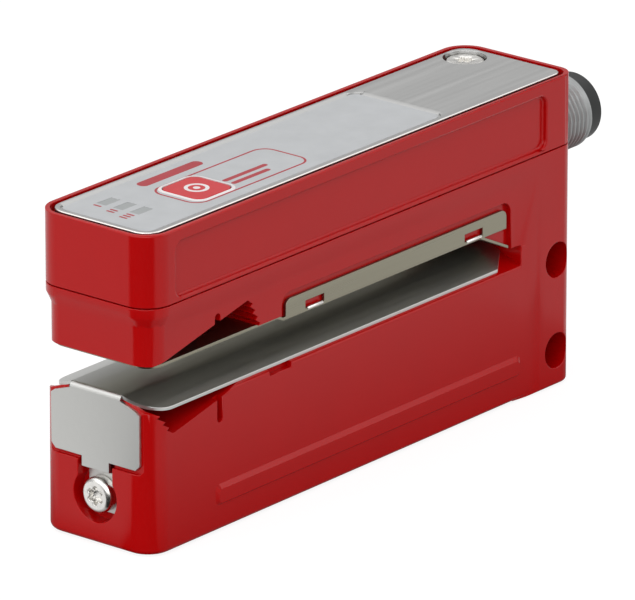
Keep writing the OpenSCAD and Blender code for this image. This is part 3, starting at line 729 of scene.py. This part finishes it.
def square_points(x, y, half, radius, steps=8):
    """Corner points of a round-cornered square about a centre."""
    return outline_points(x - half, y - half, x + half, y + half, radius, steps)


def key_frame(spread, radius):
    """Corner points of an outline that runs round the key at a distance."""
    return outline_points(KEY_LOW.x - spread, KEY_LOW.y - spread, KEY_HIGH.x + spread, KEY_HIGH.y + spread,
                          radius)


def make_key_edge():
    """Pressed slope of the foil from its flat up to the key, painted white all round as a highlight."""
    gap, width, corner = 0.16, 0.55, 1.66
    crest_drop, foot_height = 0.02, 0.004
    inner = key_frame(gap, corner)
    outer = key_frame(gap + width, corner + width)
    profile = ((inner, FOIL_TOP), (inner, KEY_HIGH.z - crest_drop),
               (outer, FOIL_TOP + foot_height), (outer, FOIL_TOP))
    bm = bmesh.new()
    closed_rings(bm, [[bm.verts.new(point(x, y, z)) for x, y in ring] for ring, z in profile])
    # The slope takes the white as a painted highlight
    obj = new_object("foil_edge_painted_highlight", bm, PRINT_AND_HIGHLIGHT_WHITE)
    carry(obj, BODY, "label")


def make_key_symbol():
    """Ring and dot on the key."""
    ring_out, ring_in, dot = 1.9, 1.3, 0.55
    ring_steps = 12
    # The arcs end a little short of each other, so that no two points coincide
    short = 0.01
    x, y = (KEY_LOW.x + KEY_HIGH.x) / 2, (KEY_LOW.y + KEY_HIGH.y) / 2
    base = KEY_HIGH.z - INK_SINK
    bm = bmesh.new()
    band(bm, square_points(x, y, ring_out, ring_out - short, ring_steps),
         square_points(x, y, ring_in, ring_in - short, ring_steps), base, base + INK)
    slab(bm, square_points(x, y, dot, dot - short), base, base + INK)
    obj = new_object("print_key_symbol", bm, PRINT_AND_HIGHLIGHT_WHITE)
    carry(obj, KEY_BODY, "label")


def make_print_frame():
    """Red line round the key's field."""
    line, corner = 0.36, 2.5
    left, near, right, far = 16.6, -6.5, 43.15, 3.3
    outer = outline_points(left, near, right, far, corner)
    inner = outline_points(left + line, near + line, right - line, far - line, corner - line)
    bm = bmesh.new()
    band(bm, outer, inner, FOIL_TOP, FOIL_TOP + INK)
    obj = new_object("print_frame_line", bm, PRINT_RED)
    carry(obj, BODY, "key_red")


def make_print_bars():
    """Red bars: one wide bar, dashes in front of the windows and two lines beside the key."""
    wide_bar = (17.8, 4.9, 31.8, 6.9, 0.9)
    window_ys = (4.85, 1.65, -1.5)
    dash_x, dash_step = 7.1, 0.8
    dash_half_length, dash_half_width, dash_corner = 0.75, 0.2, 0.18
    line_start, line_half_width, line_corner = 27.2, 0.45, 0.42
    lines = ((-2.4, 10.0), (-4.1, 8.6))
    outlines = [outline_points(*wide_bar)]
    for count, y in enumerate(window_ys, 1):
        for n in range(count):
            x = dash_x - dash_step * n
            outlines.append(outline_points(x - dash_half_width, y - dash_half_length, x + dash_half_width,
                                           y + dash_half_length, dash_corner))
    for y, length in lines:
        outlines.append(outline_points(line_start, y - line_half_width, line_start + length,
                                       y + line_half_width, line_corner))
    bm = bmesh.new()
    for points in outlines:
        slab(bm, points, FOIL_TOP, FOIL_TOP + INK)
    obj = new_object("print_bars", bm, PRINT_RED)
    carry(obj, BODY, "key_red")


make_key_edge()
make_key_symbol()
make_print_frame()
make_print_bars()


# Camera at the photograph's view

def make_camera():
    """Camera solved from the photograph, with places in the drawing's millimetres."""
    azimuth, elevation = math.radians(-50.661), math.radians(19.809)
    image_width_pixels = 635
    focal_pixels = 9323.0
    distance = 1402.1
    shift_right, shift_up = -1.289, 0.660
    target = Vector((50.0, 0.0, 25.0))
    back = Vector((math.sin(azimuth) * math.cos(elevation), -math.cos(azimuth) * math.cos(elevation),
                   math.sin(elevation)))
    right = Vector((math.cos(azimuth), math.sin(azimuth), 0.0))
    up = back.cross(right)
    place = target + back * distance - right * shift_right - up * shift_up
    data = bpy.data.cameras.new("photo_camera")
    data.sensor_width = 36.0
    data.lens = focal_pixels / image_width_pixels * data.sensor_width
    data.clip_start = 0.05
    data.clip_end = 20.0
    camera = bpy.data.objects.new("photo_camera", data)
    rotation = Matrix((right, up, back)).transposed()
    camera.matrix_world = Matrix.Translation(point(*place)) @ rotation.to_4x4()
    bpy.context.scene.collection.objects.link(camera)
    bpy.context.scene.camera = camera


make_camera()


# Floor, light and world

WHITE_COLOR = (1, 1, 1, 1)

# Floor: radius and gap in metres, grey for bounced light, and shaded and glowing shares where it is seen
FLOOR_RADIUS = 3.0
FLOOR_GAP = 0.0002
FLOOR_GREY = (0.45, 0.45, 0.45, 1)
FLOOR_SHADED = 0.22
FLOOR_GLOW = 0.86

# Floor in reflections: levels, and the dark sector by its point, its direction and its fading edge
REFLECTED_PALE = 0.95
REFLECTED_DARK = 0.02
SECTOR_POINT = point(4.3, -6.9, 0)
SECTOR_DIRECTION = (-0.940, -0.342, 0)
SECTOR_EDGE = (0.58, 0.68)

# Shade on the reflected floor beside the long sides, as a range in metres and the share at its start
SHADE_REACH = (0.002, 0.045)
SHADE_SHARE = 0.25
# Distances past the ends count this many times, so that the shade stays beside the long sides
SHADE_END_FACTOR = 6.0

# Sky: levels and bands of height for reflections, and the even level for all other light
SKY_LOW = 0.5
SKY_HIGH = 1.5
SKY_BAND = (0.40, 0.62)
SKY_TOP_SHARE = 0.3
SKY_TOP_BAND = (0.72, 0.94)
SKY_SOFT = 0.62

# What the lamps point at, in metres
CENTRE = (0, 0, 0.025)


def ray_kind(tree, *names):
    """1 for rays of any of the named kinds, else 0."""
    path = tree.nodes.new("ShaderNodeLightPath")
    total = path.outputs[names[0]]
    for name in names[1:]:
        total = number(tree, "MAXIMUM", total, path.outputs[name])
    return total


def level_by_ray(tree, plain, reflected):
    """A fixed level for most rays, and another one for rays that are mirrored."""
    node = tree.nodes.new("ShaderNodeMix")
    node.inputs["A"].default_value = plain
    tree.links.new(ray_kind(tree, "Is Glossy Ray"), node.inputs["Factor"])
    tree.links.new(reflected, node.inputs["B"])
    return node.outputs["Result"]


def mixed_shader(tree, share, first, second):
    """Mix of two shaders, of which the second has the given share."""
    node = tree.nodes.new("ShaderNodeMixShader")
    fill_inputs(tree, node, (share, first, second))
    return node.outputs[0]


def split_axes(tree, place):
    """The three axes of a vector, by name."""
    node = tree.nodes.new("ShaderNodeSeparateXYZ")
    tree.links.new(place, node.inputs[0])
    return node.outputs


def shade_near_body(tree, place):
    """Share of the floor's brightness that is left close to the long sides of the body, 1 further out."""
    beyond = split_axes(tree, vector(tree, "SUBTRACT", vector(tree, "ABSOLUTE", place), cad_box[1]))
    ahead = number(tree, "MULTIPLY", beyond["X"], SHADE_END_FACTOR)
    gap = number(tree, "MAXIMUM", ahead, beyond["Y"])
    return ramp(tree, gap, SHADE_REACH, (SHADE_SHARE, 1.0))


def reflected_floor(tree):
    """Brightness of the floor in reflections: pale at the sides and dark in the sector in front."""
    place = tree.nodes.new("ShaderNodeNewGeometry").outputs["Position"]
    away = vector(tree, "NORMALIZE", vector(tree, "SUBTRACT", place, SECTOR_POINT))
    facing = vector(tree, "DOT_PRODUCT", away, SECTOR_DIRECTION)
    level = ramp(tree, facing, SECTOR_EDGE, (REFLECTED_PALE, REFLECTED_DARK))
    return number(tree, "MULTIPLY", level, shade_near_body(tree, place))


def floor_material():
    """White with faint shadows where it is seen, its own levels in reflections, and grey for other light."""
    material = bpy.data.materials.new("pale_floor")
    material.use_nodes = True
    tree = material.node_tree
    tree.nodes.clear()
    plain = tree.nodes.new("ShaderNodeBsdfDiffuse")
    plain.inputs["Color"].default_value = FLOOR_GREY
    faint = tree.nodes.new("ShaderNodeBsdfDiffuse")
    shaded = ramp(tree, ray_kind(tree, "Is Glossy Ray"), (0.0, 1.0), (FLOOR_SHADED, 0.0))
    tree.links.new(shaded, faint.inputs["Color"])
    glow = tree.nodes.new("ShaderNodeEmission")
    glow.inputs["Color"].default_value = WHITE_COLOR
    tree.links.new(level_by_ray(tree, FLOOR_GLOW, reflected_floor(tree)), glow.inputs["Strength"])
    white = tree.nodes.new("ShaderNodeAddShader")
    fill_inputs(tree, white, (faint.outputs[0], glow.outputs[0]))
    seen = ray_kind(tree, "Is Camera Ray", "Is Glossy Ray", "Is Transmission Ray")
    out = tree.nodes.new("ShaderNodeOutputMaterial")
    tree.links.new(mixed_shader(tree, seen, plain.outputs[0], white.outputs[0]), out.inputs["Surface"])
    return material


def make_floor():
    """Round pale floor just below the object."""
    bm = bmesh.new()
    bmesh.ops.create_circle(bm, cap_ends=True, segments=96, radius=FLOOR_RADIUS)
    mesh = bpy.data.meshes.new("pale_floor")
    bm.to_mesh(mesh)
    bm.free()
    floor = bpy.data.objects.new("pale_floor", mesh)
    floor.location.z = -FLOOR_GAP
    bpy.context.scene.collection.objects.link(floor)
    mesh.materials.append(floor_material())


def make_world():
    """White behind the object, soft even light, and a sky with bands in reflections."""
    world = bpy.data.worlds.new("studio")
    bpy.context.scene.world = world
    world.use_nodes = True
    tree = world.node_tree
    tree.nodes.clear()
    height = split_axes(tree, tree.nodes.new("ShaderNodeTexCoord").outputs["Generated"])["Z"]
    sky = ramp(tree, height, SKY_BAND, (SKY_LOW, SKY_HIGH))
    top_share = ramp(tree, height, SKY_TOP_BAND, (1.0, SKY_TOP_SHARE))
    soft = tree.nodes.new("ShaderNodeBackground")
    soft.inputs["Color"].default_value = WHITE_COLOR
    level = level_by_ray(tree, SKY_SOFT, number(tree, "MULTIPLY", sky, top_share))
    tree.links.new(level, soft.inputs["Strength"])
    white = tree.nodes.new("ShaderNodeBackground")
    white.inputs["Color"].default_value = WHITE_COLOR
    white.inputs["Strength"].default_value = 1.0
    seen = ray_kind(tree, "Is Camera Ray")
    out = tree.nodes.new("ShaderNodeOutputWorld")
    tree.links.new(mixed_shader(tree, seen, soft.outputs[0], white.outputs[0]), out.inputs["Surface"])


def make_lamp(name, place, size, power):
    """Soft rectangular lamp that points at the centre, in metres and watts."""
    data = bpy.data.lights.new(name, "AREA")
    data.shape = "RECTANGLE"
    data.size, data.size_y = size
    data.energy = power
    lamp = bpy.data.objects.new(name, data)
    lamp.location = place
    lamp.rotation_euler = (Vector(CENTRE) - Vector(place)).to_track_quat("-Z", "Y").to_euler()
    bpy.context.scene.collection.objects.link(lamp)


make_floor()
make_world()
make_lamp("lamp_above", (0.1, 0.1, 0.9), size=(0.9, 0.9), power=1.6)
make_lamp("lamp_left", (-0.9, 0.2, 0.5), size=(1.1, 1.1), power=3.4)
make_lamp("lamp_right", (0.6, -0.9, 0.45), size=(0.7, 0.7), power=1.7)
make_lamp("lamp_front", (-0.65, -0.54, 0.4), size=(0.9, 0.6), power=2.2)

bpy.context.scene.view_settings.view_transform = "Standard"
